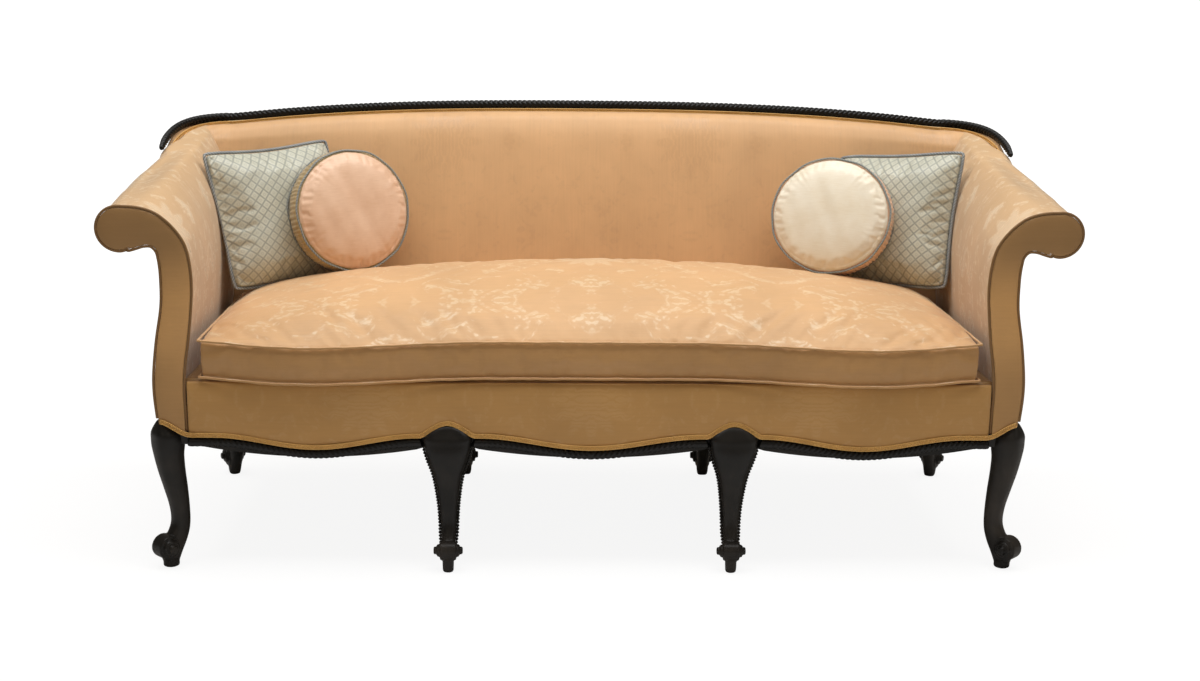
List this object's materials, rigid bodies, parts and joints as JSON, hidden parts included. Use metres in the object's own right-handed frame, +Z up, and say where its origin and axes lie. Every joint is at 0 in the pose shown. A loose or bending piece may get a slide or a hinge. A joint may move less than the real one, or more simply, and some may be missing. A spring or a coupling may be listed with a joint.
{
  "type": "cabriole sofa",
  "caption": "Upholstered cabriole sofa with outscrolled arms, carved rope show-wood, scroll toe legs, a loose down seat cushion and scatter cushions.",
  "frame": {"origin": "middle of the footprint, on the surface that the soles stand on", "axes": "+Z up, the sofa faces -Y, +X towards the right arm as seen from the front"},
  "size_m": [2.1356, 0.8226, 0.968],
  "materials": {
    "damask": "gold and apricot silk damask, soft sheen",
    "damask_piping": "the damask cut on the bias over a thin cord",
    "ebonised_wood": "black stained and polished hardwood, worn at the edges",
    "beech": "plain sawn frame timber",
    "steel": "dull steel",
    "jute": "woven jute",
    "stuffing": "hair stuffing under calico",
    "black_cloth": "thin black cotton",
    "gold_braid": "woven gold braid",
    "blue_silk": "grey blue silk with a small lattice",
    "peach_silk": "peach silk, gathered",
    "cream_silk": "cream silk, gathered",
    "blue_cord": "twisted rope cord in grey blue"
  },
  "bodies": {
    "frame": {"front_rail": "ebonised_wood", "rear_rail": "beech", "left_side_rail": "beech", "right_side_rail": "beech", "front_left_leg": "ebonised_wood", "front_mid_left_leg": "ebonised_wood", "front_mid_right_leg": "ebonised_wood", "front_right_leg": "ebonised_wood", "rear_left_leg": "ebonised_wood", "rear_mid_left_leg": "ebonised_wood", "rear_mid_right_leg": "ebonised_wood", "rear_right_leg": "ebonised_wood", "corner_blocks": "beech", "block_screws": "steel", "cross_rails": "beech", "seat_webbing": "jute", "seat_springs": "steel", "spring_hessian": "jute", "seat_deck": "damask", "front_border": "damask", "front_rope_moulding": "ebonised_wood", "front_gimp": "gold_braid", "left_arm_post": "beech", "right_arm_post": "beech", "left_arm_rail": "beech", "right_arm_rail": "beech", "left_arm_tack_rail": "beech", "right_arm_tack_rail": "beech", "left_arm_roll": "stuffing", "right_arm_roll": "stuffing", "left_inside_arm": "damask", "right_inside_arm": "damask", "left_outside_arm": "damask", "right_outside_arm": "damask", "left_facing": "damask", "right_facing": "damask", "left_facing_piping": "damask_piping", "right_facing_piping": "damask_piping", "back_top_rail": "beech", "back_tack_rail": "beech", "left_wing_rail": "beech", "right_wing_rail": "beech", "back_webbing": "jute", "inside_back": "damask", "outside_back": "damask", "crest_rail": "ebonised_wood", "crest_gimp": "gold_braid", "dust_cover": "black_cloth"},
    "seat_cushion": {"seat_cushion": "damask", "seat_cushion_piping": "damask_piping"},
    "left_square": {"left_square_cushion": "blue_silk", "left_square_cord": "blue_cord"},
    "right_square": {"right_square_cushion": "blue_silk", "right_square_cord": "blue_cord"},
    "left_round": {"left_round_cushion": "peach_silk", "left_round_cord": "blue_cord"},
    "right_round": {"right_round_cushion": "cream_silk", "right_round_cord": "blue_cord"}
  },
  "joints": [
    {"name": "seat_cushion_lift", "type": "slide", "parent": "frame", "child": "seat_cushion", "axis": [0, 0, 1], "range_m": [0, 0.62]},
    {"name": "left_square_lift", "type": "slide", "parent": "seat_cushion", "child": "left_square", "axis": [0, 0, 1], "range_m": [0, 0.5]},
    {"name": "right_square_lift", "type": "slide", "parent": "seat_cushion", "child": "right_square", "axis": [0, 0, 1], "range_m": [0, 0.5]},
    {"name": "left_round_lift", "type": "slide", "parent": "left_square", "child": "left_round", "axis": [0, 0, 1], "range_m": [0, 0.4]},
    {"name": "right_round_lift", "type": "slide", "parent": "right_square", "child": "right_round", "axis": [0, 0, 1], "range_m": [0, 0.4]}
  ]
}
